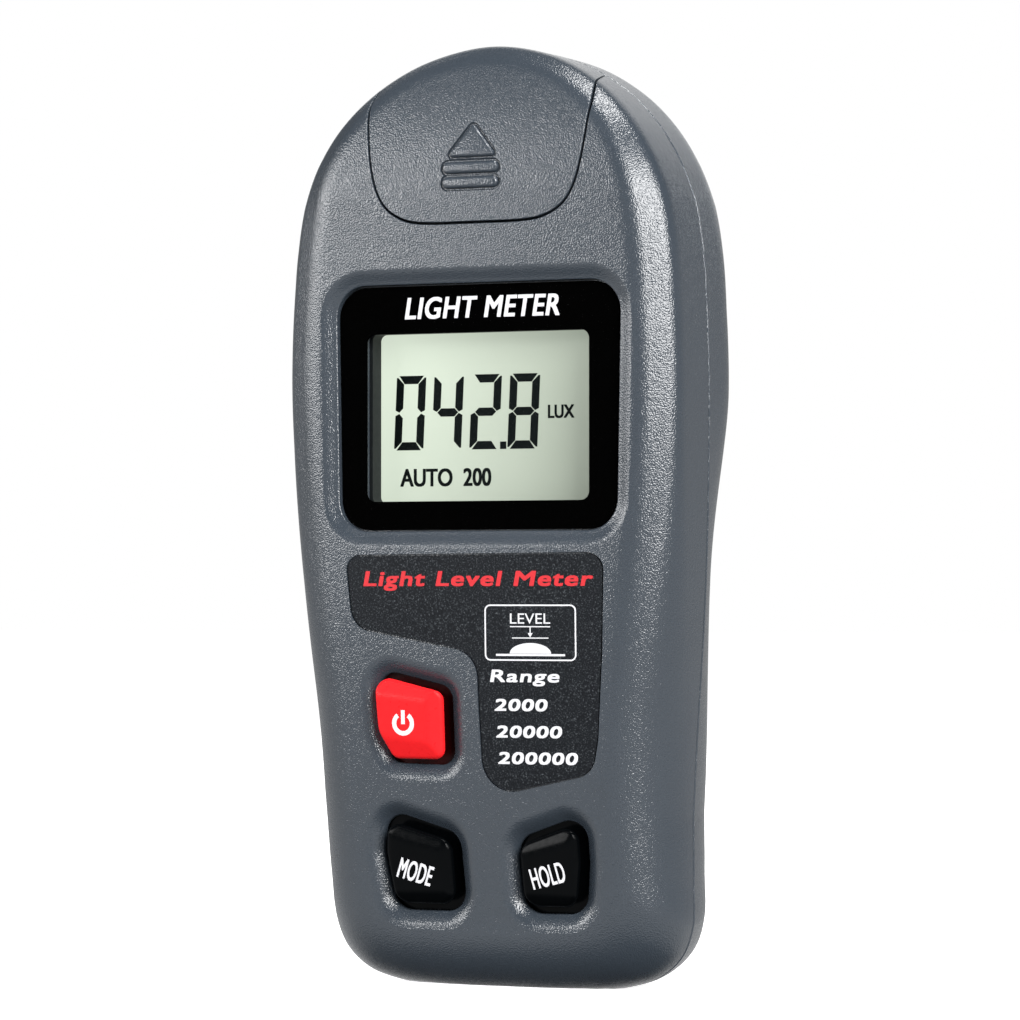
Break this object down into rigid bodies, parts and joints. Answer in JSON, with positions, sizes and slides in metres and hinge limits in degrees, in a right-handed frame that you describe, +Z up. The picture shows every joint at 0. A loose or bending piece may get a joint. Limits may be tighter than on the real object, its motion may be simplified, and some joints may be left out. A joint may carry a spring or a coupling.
{
  "type": "light_meter",
  "caption": "Handheld light meter with a slide-off sensor cap over a domed diffuser, a recessed display window, three keys and a clip-in battery door",
  "frame": {"origin": "bottom centre of the bounding box, on the base end that it stands on", "axes": "+Z runs up the long axis from base to sensor end, +X to the right of a person reading the display, +Y from the display face to the back"},
  "size_m": [0.0638, 0.0301, 0.14],
  "materials": {
    "case_grey": "dark cool grey moulded plastic with a fine spark-eroded grain",
    "black_plastic": "glossy black plastic",
    "key_black": "satin black moulded key",
    "key_red": "satin red moulded key",
    "clear_lens": "clear hard-coated lens",
    "label_film": "dark speckled matt overlay film",
    "lcd": "grey-green reflective liquid crystal cell",
    "circuit_board": "green solder mask",
    "chip": "black moulding compound",
    "zinc_steel": "zinc plated steel",
    "contact_metal": "nickel plated contact strip",
    "diffuser": "white translucent diffuser",
    "filter_glass": "blue-green colour-correcting glass",
    "zebra_rubber": "banded conductive rubber",
    "cell_wrap": "plain metallised sleeve over the cell can",
    "wire_red": "PVC wire sleeve",
    "wire_black": "PVC wire sleeve",
    "flex_film": "amber flexible circuit film"
  },
  "bodies": {
    "case": {"front_case": "case_grey", "rear_case": "case_grey", "display_window": "clear_lens", "display_mask": "black_plastic", "label_plate": "label_film", "lcd_frame": "black_plastic", "lcd_glass": "lcd", "zebra_strip_top": "zebra_rubber", "zebra_strip_bottom": "zebra_rubber", "main_pcb": "circuit_board", "mcu_chip": "chip", "amplifier_chip": "chip", "capacitor": "zinc_steel", "crystal": "zinc_steel", "switch_power": "chip", "switch_mode": "chip", "switch_hold": "chip", "sensor_holder": "black_plastic", "sensor_dome": "diffuser", "photopic_filter": "filter_glass", "photodiode": "contact_metal", "sensor_board": "circuit_board", "sensor_ribbon": "flex_film", "cell_1": "cell_wrap", "cell_2": "cell_wrap", "cell_3": "cell_wrap", "battery_spring_1": "zinc_steel", "battery_spring_2": "zinc_steel", "battery_spring_3": "zinc_steel", "contact_minus": "contact_metal", "contact_plus": "contact_metal", "contact_link_bottom": "contact_metal", "contact_link_top": "contact_metal", "battery_lead_red": "wire_red", "battery_lead_black": "wire_black", "case_screw_1": "zinc_steel", "pcb_screw_1": "zinc_steel", "case_screw_2": "zinc_steel", "pcb_screw_2": "zinc_steel", "case_screw_3": "zinc_steel", "pcb_screw_3": "zinc_steel", "case_screw_4": "zinc_steel", "pcb_screw_4": "zinc_steel"},
    "cap": {"sensor_cap": "case_grey"},
    "power_key": {"power_button": "key_red", "plunger_power": "black_plastic"},
    "mode_key": {"mode_button": "key_black", "plunger_mode": "black_plastic"},
    "hold_key": {"hold_button": "key_black", "plunger_hold": "black_plastic"},
    "door": {"battery_door": "case_grey"}
  },
  "joints": [
    {"name": "cap_slide", "type": "slide", "parent": "case", "child": "cap", "axis": [0, 0, 1], "range_m": [0, 0.032]},
    {"name": "door_hinge", "type": "hinge", "parent": "case", "child": "door", "pos_m": [0, 0.0134, 0.0694], "axis": [1, 0, 0], "range_deg": [0, 65]},
    {"name": "power_press", "type": "slide", "parent": "case", "child": "power_key", "axis": [0, 1, 0], "range_m": [0, 0.0009], "stiffness_N_per_m": 400, "springref_m": -0.0004},
    {"name": "mode_press", "type": "slide", "parent": "case", "child": "mode_key", "axis": [0, 1, 0], "range_m": [0, 0.0009], "stiffness_N_per_m": 400, "springref_m": -0.0004},
    {"name": "hold_press", "type": "slide", "parent": "case", "child": "hold_key", "axis": [0, 1, 0], "range_m": [0, 0.0009], "stiffness_N_per_m": 400, "springref_m": -0.0004}
  ]
}
